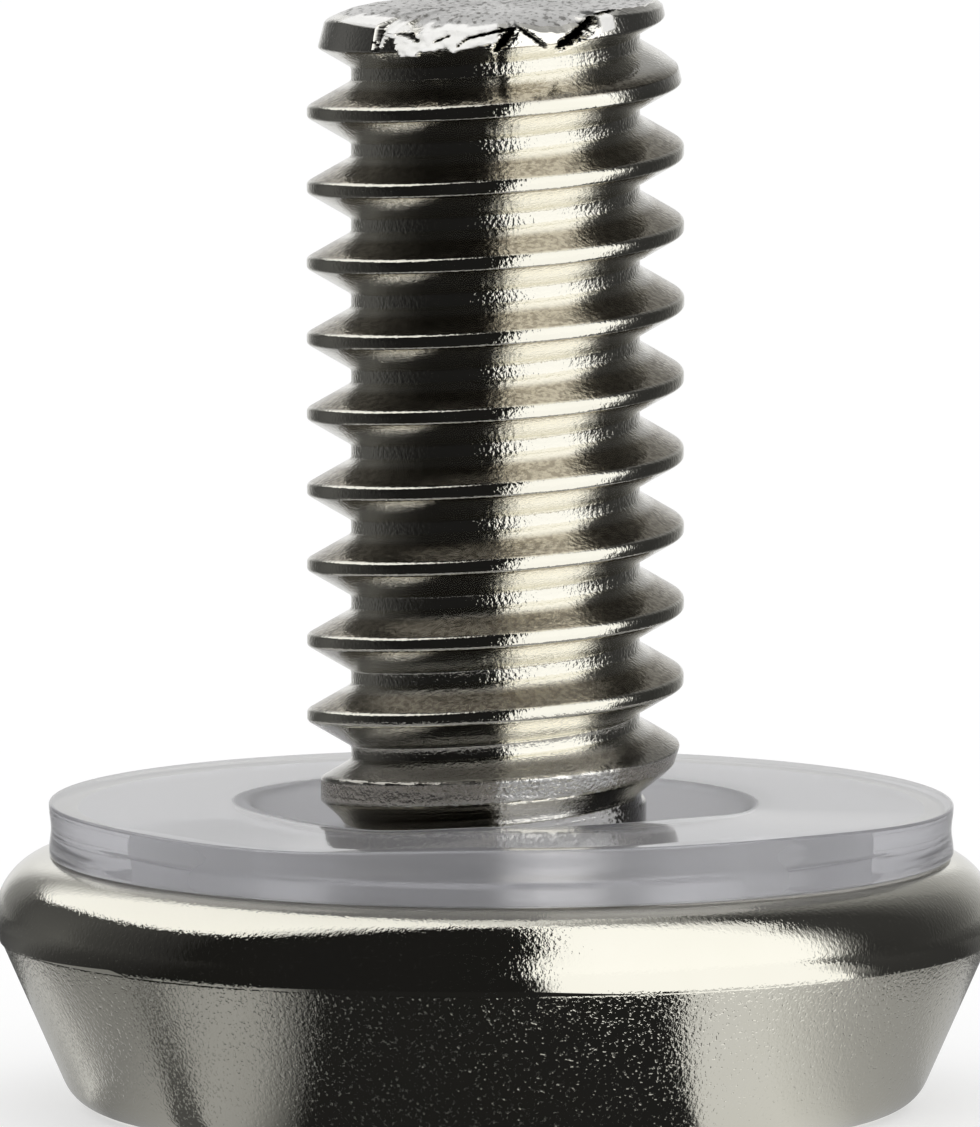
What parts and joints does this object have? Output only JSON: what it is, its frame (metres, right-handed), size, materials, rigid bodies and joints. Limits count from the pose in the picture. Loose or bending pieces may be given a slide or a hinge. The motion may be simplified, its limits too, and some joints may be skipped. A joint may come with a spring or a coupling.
{
  "type": "server rack screw",
  "caption": "Plated machine screw for a server rack, with a wide cone-sided head, a cross recess and a loose plastic washer on the seat under the head.",
  "frame": {"origin": "centre of the head's flat drive face, on the screw's axis; the screw stands on this face", "axes": "+Z along the screw's axis from the drive face to the tip; -Y is the side that faces the viewer of the picture, with +X to the viewer's right"},
  "size_m": [0.014, 0.014, 0.0155],
  "materials": {
    "nickel_plate": "polished",
    "clear_plastic": "satin"
  },
  "bodies": {
    "root": {"screw": "nickel_plate", "washer": "clear_plastic"}
  },
  "joints": []
}
